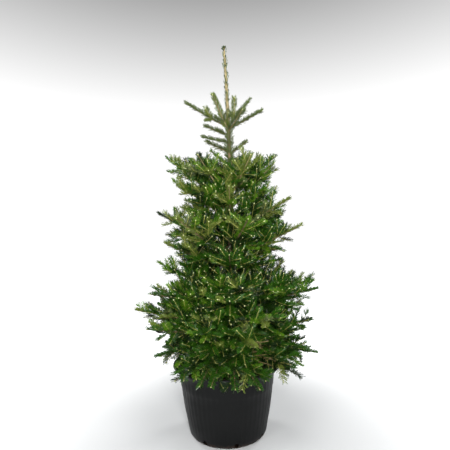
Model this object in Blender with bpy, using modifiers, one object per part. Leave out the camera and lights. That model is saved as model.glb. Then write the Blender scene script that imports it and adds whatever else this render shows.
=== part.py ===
"""A young fir in a black nursery pot, sold living as a Christmas tree, 2.05 m tall with its pot.

Units are metres and +Z is up. The origin is the middle of the pot's flat underside, and -Y is the
front. Every limb and every mass of foliage follows one rule of growth, from the sizes named below.
"""

import math
import random

import bmesh
import bpy
from mathutils import Matrix, Vector
from mathutils.bvhtree import BVHTree

UP = Vector((0, 0, 1))
CLEARANCE = 0.0003

# The pot: a turned shell with a soft foot, a stacking shoulder and a lip that flares out.
POT_HEIGHT = 0.338
POT_WALL = 0.0035
POT_FLOOR = 0.006
FOOT_RADIUS = 0.174
FOOT_ROUND = 0.030
WALL_RADIUS_LOW = 0.1975
WALL_RADIUS_MID = 0.2185
MID_HEIGHT = 0.135
WALL_RADIUS_HIGH = 0.2325
SHOULDER_HEIGHT = 0.236
SHOULDER_STEP = 0.0025
LIP_START = 0.298
LIP_RADIUS_LOW = 0.243
LIP_RADIUS = 0.274
LIP_EDGE = 0.009
POT_SEGMENTS = 32
DRAIN_HOLES = 8
DRAIN_HOLE_RADIUS = 0.011
DRAIN_HOLE_HEIGHT = 0.012
DRAIN_PHASE = 0.25

# The potting soil fills the pot to just under the lip.
SOIL_TOP = 0.296
SOIL_CROWN = 0.006

# The trunk stands on the soil, leans out and comes back, and ends in the leader's tip.
TREE_TIP = 2.045
TRUNK_START_X = 0.015
TRUNK_LEAN_OUT = 0.0924
TRUNK_LEAN_BACK = 0.0844
TRUNK_BASE_RADIUS = 0.0165
TRUNK_TIP_RADIUS = 0.0045
ROOT_FLARE = 0.011
ROOT_FLARE_HEIGHT = 0.030
TRUNK_SIDES = 8
TRUNK_STEPS = 14

# The rule of growth: side shoots stand in pairs at each year's joint of a shoot, a share as long
# as what is left of it, and branch again in the same way.
SIDE_SHARE = 0.66
SIDE_ANGLE = 50
SIDE_LIFT = 16
YEAR_GROWTH = 0.142
SHORTEST_SHOOT = 0.091
SHORTEST_UPRIGHT = 0.074
FIRST_ON_TRUNK = 0.060
FIRST_ON_BOUGH = 0.015
DEEPEST_ORDER = 2
CUT_BACK = (1, 0.8, 0.62)
NEEDLE_SPREAD = 0.078
NEEDLE_RISE = 0.036
NEEDLE_DROP = 0.019
SEED = 24

# Whorls from the top down: name, length of bare bough, radius of the limb at the trunk, bend over
# the limb's inner half in degrees, and each limb's height on the trunk, azimuth, reach and rise.
WHORLS = (
    ("top", 0, 0.0034, 10, (
        (1.582, 178, 0.230, 31), (1.566, 236, 0.140, 45), (1.590, 30, 0.145, 50),
        (1.573, 352, 0.182, 24), (1.558, 300, 0.140, 25))),
    ("leader_spur", 0, 0.0028, 8, (
        (1.535, 189, 0.125, 19), (1.495, 162, 0.150, 17), (1.440, 204, 0.130, 17),
        (1.430, 348, 0.092, 31))),
    ("upper", 0, 0.0050, 14, (
        (1.192, 179, 0.338, 33), (1.156, 240, 0.300, 33), (1.200, 292, 0.255, 31),
        (1.156, 340, 0.242, 39), (1.196, 36, 0.310, 39), (1.160, 108, 0.300, 41))),
    ("upper_spur", 0, 0.0044, 10, (
        (1.076, 202, 0.310, 31), (1.030, 150, 0.325, 22), (1.060, 20, 0.270, 31),
        (1.020, 328, 0.330, 21), (1.048, 268, 0.280, 28))),
    ("middle", 0, 0.0058, 10, (
        (0.915, 174, 0.392, 27), (0.874, 228, 0.370, 26), (0.922, 282, 0.340, 19),
        (0.876, 336, 0.372, 21), (0.918, 36, 0.380, 28), (0.876, 104, 0.370, 27))),
    ("middle_spur", 0, 0.0054, 8, (
        (0.806, 204, 0.350, 22), (0.760, 140, 0.340, 29), (0.798, 352, 0.258, 12),
        (0.752, 60, 0.330, 30), (0.778, 268, 0.330, 18))),
    ("lower", 0, 0.0060, 8, (
        (0.668, 176, 0.385, 25), (0.636, 214, 0.440, 10), (0.672, 276, 0.400, 11),
        (0.622, 334, 0.440, 12), (0.664, 10, 0.455, 8), (0.628, 86, 0.400, 21))),
    ("broad", 0.085, 0.0072, 6, (
        (0.514, 188, 0.478, 12), (0.472, 214, 0.450, 11), (0.512, 282, 0.430, 1),
        (0.470, 344, 0.408, 12), (0.514, 48, 0.440, 11), (0.468, 128, 0.460, 16))),
    ("skirt", 0, 0.0050, -40, (
        (0.396, 194, 0.375, 0), (0.374, 228, 0.365, -5), (0.398, 256, 0.355, -9),
        (0.376, 289, 0.360, -8), (0.404, 322, 0.390, -10), (0.374, 352, 0.430, 2),
        (0.394, 62, 0.370, -4), (0.374, 130, 0.380, -3))),
)


def trunk_centre(height):
    """The trunk's centre line: a gentle bow to the right."""
    share = (height - SOIL_TOP) / (TREE_TIP - SOIL_TOP)
    return Vector((TRUNK_START_X + TRUNK_LEAN_OUT * share - TRUNK_LEAN_BACK * share**2, 0, height))


def trunk_radius(height):
    """The trunk's taper, with a flare where the roots begin."""
    left = max(TREE_TIP - height, 0) / (TREE_TIP - SOIL_TOP)
    flare = ROOT_FLARE * math.exp((SOIL_TOP - height) / ROOT_FLARE_HEIGHT)
    return TRUNK_TIP_RADIUS + TRUNK_BASE_RADIUS * left**0.8 + flare


def clear_scene():
    for obj in list(bpy.data.objects):
        bpy.data.objects.remove(obj, do_unlink=True)


def new_collection(name):
    collection = bpy.data.collections.new(name)
    bpy.context.scene.collection.children.link(collection)
    return collection


def finish(name, colour, roughness):
    """A Principled BSDF of one colour."""
    material = bpy.data.materials.new(name)
    material.use_nodes = True
    shader = material.node_tree.nodes["Principled BSDF"]
    shader.inputs["Base Color"].default_value = (*colour, 1)
    shader.inputs["Roughness"].default_value = roughness
    shader.inputs["Metallic"].default_value = 0
    return material


def add_object(name, data, collection, material=None):
    obj = bpy.data.objects.new(name, data)
    collection.objects.link(obj)
    if material:
        data.materials.append(material)
    return obj


def helper(obj):
    """Keeps a cutter or a guide out of the model."""
    obj.hide_render = True
    obj.display_type = "WIRE"
    return obj


def evaluated_mesh(obj):
    """The object's mesh with its modifiers applied, in its own space."""
    bpy.context.view_layer.update()
    graph = bpy.context.evaluated_depsgraph_get()
    return bpy.data.meshes.new_from_object(obj.evaluated_get(graph))


def turned(name, profile, segments, collection, material):
    """A profile of (radius, height), from the outer side's top down, spun round Z."""
    mesh = bpy.data.meshes.new(name)
    points = [(radius, 0, height) for radius, height in profile]
    mesh.from_pydata(points, [(i, i + 1) for i in range(len(points) - 1)], [])
    obj = add_object(name, mesh, collection, material)
    screw = obj.modifiers.new("spin", "SCREW")
    screw.steps = screw.render_steps = segments
    screw.use_merge_vertices = True
    screw.merge_threshold = 0.0001
    screw.use_smooth_shade = True
    return obj


def polygon_guide(sides, collection):
    """A closed outline of radius 1 m that tubes of that many sides are drawn with."""
    name = f"section_of_{sides}_sides"
    if name in bpy.data.objects:
        return bpy.data.objects[name]
    curve = bpy.data.curves.new(name, "CURVE")
    spline = curve.splines.new("POLY")
    spline.points.add(sides - 1)
    for i, point in enumerate(spline.points):
        turn = 2 * math.pi * i / sides
        point.co = (math.cos(turn), math.sin(turn), 0, 1)
    spline.use_cyclic_u = True
    return helper(add_object(name, curve, collection))


def tube(name, points, radii, sides, collection, guides, material):
    """A tapering tube with closed ends along the points, as a mesh."""
    curve = bpy.data.curves.new(name, "CURVE")
    curve.dimensions = "3D"
    curve.bevel_mode = "OBJECT"
    curve.bevel_object = polygon_guide(sides, guides)
    curve.use_fill_caps = True
    spline = curve.splines.new("POLY")
    spline.points.add(len(points) - 1)
    for target, point, radius in zip(spline.points, points, radii):
        target.co = (*point, 1)
        target.radius = radius
    drawn = add_object(name + "_line", curve, collection)
    mesh = evaluated_mesh(drawn)
    bpy.data.objects.remove(drawn, do_unlink=True)
    shape = bmesh.new()
    shape.from_mesh(mesh)
    bmesh.ops.remove_doubles(shape, verts=shape.verts, dist=0.00001)
    bmesh.ops.recalc_face_normals(shape, faces=shape.faces)
    shape.to_mesh(mesh)
    shape.free()
    mesh.name = name
    mesh.materials.clear()
    return add_object(name, mesh, collection, material)


def build_pot(collection, cutters, material):
    """The pot with its drainage holes low in the wall."""
    outer = [
        (LIP_RADIUS - 0.004, POT_HEIGHT),
        (LIP_RADIUS, POT_HEIGHT - 0.003),
        (LIP_RADIUS, POT_HEIGHT - LIP_EDGE),
        (LIP_RADIUS_LOW + 0.010, LIP_START + 0.012),
        (LIP_RADIUS_LOW, LIP_START),
        (WALL_RADIUS_HIGH + SHOULDER_STEP, SHOULDER_HEIGHT + 0.004),
        (WALL_RADIUS_HIGH, SHOULDER_HEIGHT),
        (WALL_RADIUS_MID, MID_HEIGHT),
        (WALL_RADIUS_LOW, FOOT_ROUND),
    ]
    reach = WALL_RADIUS_LOW - FOOT_RADIUS
    for turn in (30, 60):
        angle = math.radians(turn)
        outer.append((FOOT_RADIUS + reach * math.cos(angle), FOOT_ROUND * (1 - math.sin(angle))))
    outer.append((FOOT_RADIUS, 0))
    inner = [
        (FOOT_RADIUS, POT_FLOOR),
        (WALL_RADIUS_LOW - POT_WALL, FOOT_ROUND + POT_WALL),
        (WALL_RADIUS_MID - POT_WALL, MID_HEIGHT),
        (WALL_RADIUS_HIGH - POT_WALL, SHOULDER_HEIGHT),
        (LIP_RADIUS_LOW - POT_WALL, LIP_START),
        (LIP_RADIUS - 2 * POT_WALL, POT_HEIGHT - LIP_EDGE),
    ]
    profile = outer + [(0, 0), (0, POT_FLOOR)] + inner + [outer[0]]
    pot = turned("pot", profile, POT_SEGMENTS, collection, material)
    for i in range(DRAIN_HOLES):
        turn = 2 * math.pi * (i + DRAIN_PHASE) / DRAIN_HOLES
        shape = bmesh.new()
        bmesh.ops.create_cone(shape, cap_ends=True, segments=10, depth=0.06,
                              radius1=DRAIN_HOLE_RADIUS, radius2=DRAIN_HOLE_RADIUS)
        mesh = bpy.data.meshes.new(f"drain_cutter_{i + 1}")
        shape.to_mesh(mesh)
        shape.free()
        cutter = helper(add_object(mesh.name, mesh, cutters))
        cutter.rotation_euler = (0, math.radians(90), turn)
        cutter.location = (FOOT_RADIUS * math.cos(turn), FOOT_RADIUS * math.sin(turn),
                           POT_FLOOR + DRAIN_HOLE_HEIGHT)
        cut = pot.modifiers.new(f"drain_{i + 1}", "BOOLEAN")
        cut.operation = "DIFFERENCE"
        cut.object = cutter
    return pot


def build_soil(collection, material):
    """The root ball and its soil, with the shape of the pot's inside."""
    gap = POT_WALL + CLEARANCE
    level = (SOIL_TOP - SOIL_CROWN - SHOULDER_HEIGHT) / (LIP_START - SHOULDER_HEIGHT)
    edge = WALL_RADIUS_HIGH + (LIP_RADIUS_LOW - WALL_RADIUS_HIGH) * level - gap
    profile = [
        (0, SOIL_TOP),
        (0.06, SOIL_TOP),
        (0.16, SOIL_TOP - SOIL_CROWN / 2),
        (edge, SOIL_TOP - SOIL_CROWN),
        (WALL_RADIUS_HIGH - gap - 0.0001, SHOULDER_HEIGHT),
        (WALL_RADIUS_MID - gap - 0.0001, MID_HEIGHT),
        (WALL_RADIUS_LOW - gap, FOOT_ROUND + gap),
        (FOOT_RADIUS - CLEARANCE, POT_FLOOR + 2 * CLEARANCE),
        (0, POT_FLOOR + CLEARANCE),
    ]
    return turned("potting_soil", profile, POT_SEGMENTS, collection, material)


def build_trunk(collection, cutters, guides, material):
    """The trunk from its flat cut on the soil to the tip, and a slightly thicker copy that seats limbs."""
    heights = [SOIL_TOP + CLEARANCE + (TREE_TIP - SOIL_TOP - CLEARANCE) * (i / TRUNK_STEPS) ** 1.5
               for i in range(TRUNK_STEPS + 1)]
    centres = [trunk_centre(height) for height in heights]
    radii = [trunk_radius(height) for height in heights]
    trunk = tube("trunk", centres, radii, TRUNK_SIDES, collection, guides, material)
    for vertex in trunk.data.vertices:
        if vertex.co.z < heights[0] + 0.002:
            vertex.co.z = heights[0]
    seat = tube("trunk_seat", centres, [r + CLEARANCE for r in radii], TRUNK_SIDES, cutters, guides, None)
    return trunk, helper(seat)


def limb_path(root, azimuth, rise, bend, reach, steps):
    """Points of a limb that turns by bend over its inner half; rise is the slope from root to tip."""
    out = Vector((math.cos(math.radians(azimuth)), math.sin(math.radians(azimuth)), 0))
    slopes = [math.radians(rise + bend * (min((i + 0.5) * 2 / steps, 1) - 0.75)) for i in range(steps)]
    step = reach / sum(math.cos(slope) for slope in slopes)
    points = [root]
    for slope in slopes:
        points.append(points[-1] + (out * math.cos(slope) + UP * math.sin(slope)) * step)
    return points


def path_length(points):
    return sum((b - a).length for a, b in zip(points, points[1:]))


def along(points, distance):
    """The point at a distance along the path, and the heading there."""
    for a, b in zip(points, points[1:]):
        step = (b - a).length
        if distance <= step or b is points[-1]:
            return a + (b - a) * (distance / step), (b - a).normalized()
        distance -= step


def side_shoots(length, first):
    """Where the pairs of side shoots stand on a shoot, and how long they are."""
    place = first
    while SIDE_SHARE * (length - place) > SHORTEST_SHOOT:
        yield place, SIDE_SHARE * (length - place)
        place += YEAR_GROWTH


def offshoots(shoot, dice):
    """The shoots that branch from a shoot (start, heading, normal, length, order), in pairs."""
    start, heading, normal, length, order = shoot
    if order < DEEPEST_ORDER:
        for place, reach in side_shoots(length, YEAR_GROWTH):
            for side in (-1, 1):
                turned_heading = side_heading(heading, normal, side, dice)
                yield (start + heading * place, turned_heading, normal,
                       reach * dice.uniform(0.88, 1.08), order + 1)


def side_heading(heading, normal, side, dice):
    """The heading of a side shoot, a little above the plane that the pair spans."""
    angle = math.radians(SIDE_ANGLE + dice.uniform(-5, 5))
    lift = math.radians(SIDE_LIFT + dice.uniform(-3, 5))
    across = normal.cross(heading).normalized() * side
    return (heading * math.cos(angle) + across * math.sin(angle) + normal * math.sin(lift)).normalized()


def spray_mesh(length):
    """A spray of needles along +X: tiers that flare forward to four points, then step back in."""
    tiers = 1 + (length > 0.118) + (length > 0.23)
    spread = min(1, 0.45 + 5 * length)
    core = 0.11
    profile = [(-0.004, 0), (-0.004, core)]
    for i in range(tiers):
        share = (i + 1) / tiers
        swell = 0.78 + 0.22 * math.sin(math.pi * share)
        profile.append(((0.96 * share + 0.02) * length, swell))
        profile.append((0.96 * (share - 0.22 / tiers) * length, core * 1.5))
    profile[-1] = (1.05 * length, 0)
    shape = bmesh.new()
    line = [shape.verts.new((x, radius, 0)) for x, radius in profile]
    edges = [shape.edges.new(pair) for pair in zip(line, line[1:])]
    bmesh.ops.spin(shape, geom=line + edges, axis=(1, 0, 0), cent=(0, 0, 0),
                   angle=math.tau, steps=4, use_merge=True)
    bmesh.ops.remove_doubles(shape, verts=shape.verts, dist=0.00001)
    for vertex in shape.verts:
        rise = NEEDLE_RISE if vertex.co.z > 0 else NEEDLE_DROP
        vertex.co.z *= spread * rise
        vertex.co.y *= spread * NEEDLE_SPREAD / 2
    bmesh.ops.recalc_face_normals(shape, faces=shape.faces)
    mesh = bpy.data.meshes.new("spray")
    shape.to_mesh(mesh)
    shape.free()
    return mesh


def level_normal(heading):
    """The way a shoot's upper side faces."""
    return (UP - heading * UP.dot(heading)).normalized()


def placed(start, heading, normal):
    """The matrix that lays a spray's +X along the heading, with its flat side facing the normal."""
    across = normal.cross(heading).normalized()
    face = heading.cross(across)
    turn = Matrix((heading, across, face)).transposed().to_4x4()
    return Matrix.Translation(start) @ turn


def surface(mesh, matrix=Matrix.Identity(4)):
    """A tree of the mesh's faces that another one can be tested against."""
    return BVHTree.FromPolygons([matrix @ v.co for v in mesh.vertices],
                                [tuple(p.vertices) for p in mesh.polygons])


def keep_largest_island(mesh):
    """Fills sealed hollows and drops loose scrap: only the connected skin with most faces stays."""
    shape = bmesh.new()
    shape.from_mesh(mesh)
    waiting = set(shape.faces)
    islands = []
    while waiting:
        island = {waiting.pop()}
        edge_of_it = list(island)
        while edge_of_it:
            face = edge_of_it.pop()
            near = {other for edge in face.edges for other in edge.link_faces} & waiting
            waiting -= near
            island |= near
            edge_of_it += near
        islands.append(island)
    islands.sort(key=len)
    scrap = [face for island in islands[:-1] for face in island]
    bmesh.ops.delete(shape, geom=scrap, context="FACES")
    shape.to_mesh(mesh)
    shape.free()


def fuse(name, stem, sprays, seat, collection, material):
    """One solid of the stem and its sprays, cut clear of the trunk where a seat is given."""
    gathered = new_collection(name + "_sprays")
    for spray in sprays:
        gathered.objects.link(spray)
    if sprays:
        join = stem.modifiers.new("join", "BOOLEAN")
        join.operation = "UNION"
        join.operand_type = "COLLECTION"
        join.collection = gathered
        join.solver = "MANIFOLD"
    if seat:
        cut = stem.modifiers.new("seat", "BOOLEAN")
        cut.operation = "DIFFERENCE"
        cut.object = seat
        cut.solver = "MANIFOLD"
    mesh = evaluated_mesh(stem)
    keep_largest_island(mesh)
    mesh.name = name
    mesh.materials.clear()
    for spray in sprays + [stem]:
        bpy.data.objects.remove(spray, do_unlink=True)
    bpy.data.collections.remove(gathered)
    return add_object(name, mesh, collection, material)


def spray_place(shoot):
    """The mesh of a shoot's spray and the matrix that puts it there."""
    start, heading, normal, reach, _ = shoot
    mesh = spray_mesh(reach)
    return mesh, placed(start, heading, normal)


def start_stem(name, path, start, radius, collection, guides):
    """A mass's stem, the shoot that ends it, and what other masses keep clear of."""
    length = path_length(path)
    last = start + 0.5 * (length - start)
    stops = [start + (last + 0.01 - start) * i / 3 for i in range(4)]
    points = [along(path, stop)[0] for stop in stops]
    radii = [radius + (0.0022 - radius) * (stop - start) / (length - start) for stop in stops]
    stem = tube(name + "_stem", points, radii, 3, collection, guides, None)
    tip, heading = along(path, last)
    leader = (tip, heading, level_normal(heading), (path[-1] - tip).length, DEEPEST_ORDER)
    fat = tube(name + "_fat", points, [r + 0.0015 for r in radii], 3, collection, guides, None)
    mesh, matrix = spray_place(leader)
    kept = [surface(fat.data), surface(mesh, matrix @ Matrix.Diagonal((1.02, 1.05, 1.5, 1)))]
    bpy.data.objects.remove(fat, do_unlink=True)
    bpy.data.meshes.remove(mesh)
    return stem, leader, kept


def first_shoots(path, first, dice):
    """The pairs of side shoots on a mass's own stem, with short ones above and below each pair."""
    for place, reach in side_shoots(path_length(path), first):
        point, heading = along(path, place)
        normal = level_normal(heading)
        for side in (-1, 1):
            outward = side_heading(heading, normal, side, dice)
            yield point, outward, normal, reach * dice.uniform(0.9, 1.08), 1
        for lift, share in ((dice.uniform(42, 54), 0.55), (dice.uniform(-54, -42), 0.45)):
            turn = math.radians(lift)
            raised = (heading * math.cos(turn) + normal * math.sin(turn)).normalized()
            face = (normal * math.cos(turn) - heading * math.sin(turn)).normalized()
            if share * reach > SHORTEST_UPRIGHT:
                yield point, raised, face, share * reach, DEEPEST_ORDER


def grow_one(name, mass, others, dice):
    """Adds a mass's next shoot, cut back or left out where it would leave the mass's own space."""
    shoot = mass["shoots"].pop(0)
    for share in CUT_BACK:
        cut = (*shoot[:3], shoot[3] * share, shoot[4])
        mesh, matrix = spray_place(cut)
        room = surface(mesh, matrix @ Matrix.Diagonal((1.03, 1.04, 1.1, 1)))
        outer = Matrix.Translation((0.4 * cut[3], 0, 0)) @ Matrix.Diagonal((0.6, 0.8, 0.8, 1))
        outer_part = surface(mesh, matrix @ outer)
        if any(room.overlap(other) for other in others) or any(outer_part.overlap(o) for o in mass["own"]):
            bpy.data.meshes.remove(mesh)
            continue
        mass["own"].append(surface(mesh, matrix))
        spray = bpy.data.objects.new(f"{name}_spray_{len(mass['sprays']) + 1}", mesh)
        spray.matrix_world = matrix
        mass["sprays"].append(spray)
        mass["shoots"] += offshoots(cut, dice)
        break


def main():
    clear_scene()
    tree = new_collection("potted_fir")
    cutters = new_collection("cutters")
    guides = new_collection("guides")
    plastic = finish("black_moulded_plastic", (0.018, 0.019, 0.019), 0.45)
    compost = finish("dark_potting_soil", (0.045, 0.028, 0.018), 0.95)
    bark = finish("olive_brown_bark", (0.20, 0.14, 0.075), 0.8)
    needles = finish("glossy_fir_needles", (0.045, 0.105, 0.022), 0.4)
    dice = random.Random(SEED)

    pot = build_pot(tree, cutters, plastic)
    build_soil(tree, compost)
    trunk, seat = build_trunk(tree, cutters, guides, bark)
    taken = [surface(evaluated_mesh(pot)), surface(seat.data)]
    limbs = []
    for whorl, bare, radius, bend, rows in WHORLS:
        for i, (height, azimuth, reach, rise) in enumerate(rows):
            path = limb_path(trunk_centre(height), azimuth, rise, bend, reach, 12)
            limbs.append((f"{whorl}_{i + 1}", bare, radius, path))
    for name, bare, radius, path in limbs:
        if not bare:
            continue
        stops = [bare * i / 3 for i in range(4)]
        points = [along(path, stop)[0] for stop in stops]
        radii = [radius * (1 - 0.35 * stop / bare) for stop in stops]
        bough = tube("bough_" + name, points, radii, 6, tree, guides, bark)
        bough = fuse("bough_" + name, bough, [], seat, tree, bark)
        taken.append(surface(bough.data))
    masses = {}
    for name, bare, radius, path in limbs:
        start = bare + 1.3 * CLEARANCE if bare else 0
        thick = radius * 0.55 if bare else radius
        stem, leader, kept = start_stem("foliage_" + name, path, start, thick, tree, guides)
        first = start + (FIRST_ON_BOUGH if bare else FIRST_ON_TRUNK)
        masses["foliage_" + name] = {"stem": stem, "kept": kept, "own": [], "sprays": [],
                                     "seat": None if bare else seat,
                                     "shoots": [leader] + list(first_shoots(path, first, dice))}
    while any(mass["shoots"] for mass in masses.values()):
        for name, mass in masses.items():
            if mass["shoots"]:
                others = [s for key, m in masses.items() if key != name for s in m["kept"] + m["own"]]
                grow_one(name, mass, taken + others, dice)
    for name, mass in masses.items():
        fuse(name, mass["stem"], mass["sprays"], mass["seat"], tree, needles)


main()
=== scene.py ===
"""A young fir in a black nursery pot, sold living as a Christmas tree.

The limbs, shoots and needles grow by the same rule as the solids that they replace, carried on to
finer shoots. Units are metres, +Z is up, and the front is -Y.
"""

import math
import random

import bmesh
import bpy
import numpy as np
from mathutils import Matrix, Vector, noise
from mathutils.geometry import intersect_point_line


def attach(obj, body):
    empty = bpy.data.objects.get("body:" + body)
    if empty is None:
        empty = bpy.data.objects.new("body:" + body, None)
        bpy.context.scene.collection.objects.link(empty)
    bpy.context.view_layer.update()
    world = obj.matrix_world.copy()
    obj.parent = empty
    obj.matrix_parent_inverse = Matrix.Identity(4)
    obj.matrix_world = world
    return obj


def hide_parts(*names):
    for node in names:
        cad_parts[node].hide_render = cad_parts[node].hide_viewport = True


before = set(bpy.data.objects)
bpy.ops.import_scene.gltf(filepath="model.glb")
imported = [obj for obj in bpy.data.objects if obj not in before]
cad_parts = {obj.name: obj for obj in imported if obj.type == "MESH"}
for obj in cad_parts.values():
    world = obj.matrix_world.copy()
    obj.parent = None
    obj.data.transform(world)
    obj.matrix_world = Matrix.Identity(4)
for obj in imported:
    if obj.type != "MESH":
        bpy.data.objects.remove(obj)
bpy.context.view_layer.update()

UP = Vector((0, 0, 1))
SEED = 24

# The trunk: a gentle bow to the right from the soil to the leading shoot's tip.
SOIL_TOP = 0.296
TREE_TIP = 2.045
TRUNK_START_X = 0.015
TRUNK_LEAN_OUT = 0.0924
TRUNK_LEAN_BACK = 0.0844
TRUNK_BASE_RADIUS = 0.0165
TRUNK_TIP_RADIUS = 0.0045
ROOT_FLARE = 0.011
ROOT_FLARE_HEIGHT = 0.030
LEADER_START = 1.60

# The trunk's two pieces: (name, bark, foot, top, sides, rings). It swells at each whorl's scar.
TRUNK_PARTS = (("trunk_bark", "bark", SOIL_TOP - 0.002, LEADER_START, 28, 330),
               ("leading_shoot", "leader", LEADER_START - 0.001, TREE_TIP, 16, 110))
SCAR_HEIGHTS = (1.575, 1.180, 0.895, 0.640, 0.482)
BARK_RELIEF = 0.0006

# Needles on the young stem and on the leading shoot: (from, to, needles per metre, sweep).
STEM_NEEDLES = ((1.24, 1.60, 2600, 50), (1.60, 2.03, 420, 24))

# The rule of growth, as for the solids, with shorter steps and more orders of shoots. A spread is what
# chance adds to a value or multiplies it by.
SIDE_SHARE = 0.70
SIDE_CHANCE = 0.95
SIDE_REACH_SPREAD = (0.85, 1.10)
SIDE_ANGLE = 46
SIDE_ANGLE_SPREAD = (-9, 9)
SIDE_LIFT = 10
SIDE_LIFT_SPREAD = (-16, 20)
BETWEEN_SHARE = 0.62
BETWEEN_CHANCE = 0.75
BETWEEN_REACH_SPREAD = (0.7, 1.1)
BETWEEN_PLACE = (0.25, 0.6)
YEAR_GROWTH = 0.116
LAST_YEAR_SPREAD = (0.85, 1.1)
YEAR_SPREAD = (0.85, 1.15)
NO_JOINT_WITHIN = 0.010
SHORTEST_SHOOT = 0.040
DEEPEST_ORDER = 3
SHOOT_POINTS = 4
LIMB_STEPS = 12
FINE_LIMB_STEPS = 30
ROLL_SPREAD = 15
CURL = (-4, 24)
SKIRT_CURL = (-34, 2)

# Shoots that leave a limb above or below the plane of its pairs: (least lift, most lift, length share).
OFF_PLANE = ((30, 62, 0.68), (-58, -28, 0.60))
OFF_PLANE_CHANCE = 0.2
OFF_PLANE_SIDEWAYS = (-0.6, 0.6)

# The youngest growth at the top is simpler: (yearly growth, chance of shoots between joints, orders of
# shoots, side shoots' share).
HABITS = {"top": (0.170, 0, 1, 0.42), "leader_spur": (0.200, 0, 0, 0)}

# A pair near a shoot's tip is nearly as long as the tip itself, which makes the tips blunt fans.
TIP_PAIR_WITHIN = 0.125
TIP_PAIR_SHARE = 0.92

# Shoots keep off the trunk, the soil and the pot's lip.
TRUNK_GAP = 0.012
JOINT_GAP = 0.018
SOIL_GAP = 0.018
LIP_CLEAR_HEIGHT = 0.346
LIP_CLEAR_FROM = 0.246
LIP_CLEAR_TO = 0.290

# Short limbs all the way up the trunk, each joined to the whorl that is there, as (below, whorl).
GOLDEN_TURN = 137.5
SPUR_RADIUS = 0.0024
SPURS_FROM = 0.43
SPURS_TO = 1.37
SPUR_STEP = 0.030
SPURS_START = 250
SPUR_TURN_SPREAD = (-14, 14)
SPUR_BEND = 10
SPUR_REACH = 0.28
SPUR_REACH_LOSS = 0.12
SPUR_REACH_SPREAD = (0.8, 1.15)
SPUR_RISE = (8, 34)
STEEP_SPURS_FROM = 1.20
STEEP_SPURS_SHARE = 0.62
STEEP_SPURS_RISE = 20
SPUR_WHORLS = ((0.60, "broad"), (0.82, "lower"), (1.04, "middle"), (SPURS_TO + SPUR_STEP, "upper"))

# Longer ones fill the broad part of the crown, and others arch over the pot's rim, shorter in front.
FULL_SPURS = 14
FULL_SPURS_FROM = 0.440
FULL_SPURS_APART = 0.016
FULL_SPURS_START = 196
FULL_SPURS_REACH = (0.35, 0.41)
FULL_SPURS_RISE = (5, 14)
FULL_SPURS_BEND = 8
FULL_SPURS_LOWER_FROM = 0.56
RIM_SPURS = 12
RIM_SPURS_START = 247
RIM_SPURS_TURN = 25
RIM_SPURS_BEND = -74
RIM_SPURS_FROM = 0.412
RIM_SPURS_REACH = 0.345
RIM_FRONT = (280, 340)
RIM_FRONT_SHARE = 0.87

# Tones of needles by how far out the shoot is: all deep within the first share, a painted shade, then by
# these tables of (tone, share of shoots up to this tone in the shade, added to that in full light). The
# lighter tones paint light and the deeper ones paint shade, over a spread of tones at random.
ALL_DEEP_WITHIN = 0.42
INNER_WITHIN = 0.70
INNER_TONES = (("fresh", 0.06, 0.12), ("green", 0.56, 0.24), ("deep", 1, 0))
OUTER_TONES = (("fresh", 0.15, 0.12), ("olive", 0.20, 0.42), ("grey", 0.24, 0.48), ("green", 0.80, 0.14),
               ("deep", 1, 0))
TONE_SPREAD = (-0.16, 0.16)

# The crown's radius, which narrows towards the top.
CROWN_RADIUS = 0.47
CROWN_TAPER = 0.30
CROWN_TAPER_FROM = 0.65
CROWN_LEAST_RADIUS = 0.10

# The needle tones paint shade up to this height and full light this much higher. Tips that droop over
# the pot's lip get this painted light too, so they are as yellow as the tips higher up.
SHADE_TO = 0.45
LIGHT_OVER = 0.8
PAINTED_LIGHT_BELOW = 0.345
PAINTED_LIGHT_ON_TIPS = 0.55

# Twigs that have died carry no needles. They lie around this line, low on the right of the front.
DEAD_LINE = (Vector((0.165, -0.20, 0.43)), Vector((0.140, -0.44, 0.50)))
DEAD_REACH = 0.050

# Needles: flat blades, parted under the shoot and swept forward. Shoots that end within SPARSE_WITHIN of
# the crown's radius bear fewer, and the foot of each shoot is bare for a share of its length.
NEEDLE_LENGTH = 0.0260
NEEDLE_WIDTH = 0.0032
NEEDLES_PER_METRE = 1100
INNER_NEEDLES_PER_METRE = 500
LIMB_NEEDLES_PER_METRE = 1500
TOP_NEEDLES_PER_METRE = 2300
SPARSE_WITHIN = 0.45
NEEDLE_SWEEP = 54
NEEDLE_PARTING = (2, 62, 134)
NEEDLE_ROLL = 0.85
NEEDLE_ROOT_RADIUS = 0.0011
BARE_START = 0.04
BARE_LIMB_START = 0.14
BARE_YOUNG_START = 0.06

# Buds: pale, partly as a painted glint, and duller on the low whorls as a painted shade; larger on the
# leading shoot and at its tip.
BUD_LENGTH = 0.0084
BUD_RADIUS = 0.0028
BUD_SIDES = 6
LOW_BUD_WHORLS = ("skirt", "broad")
LEADER_BUDS = 22
LEADER_BUDS_FROM = 1.63
LEADER_BUDS_OVER = 0.405
TIP_BUDS = 6

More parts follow.
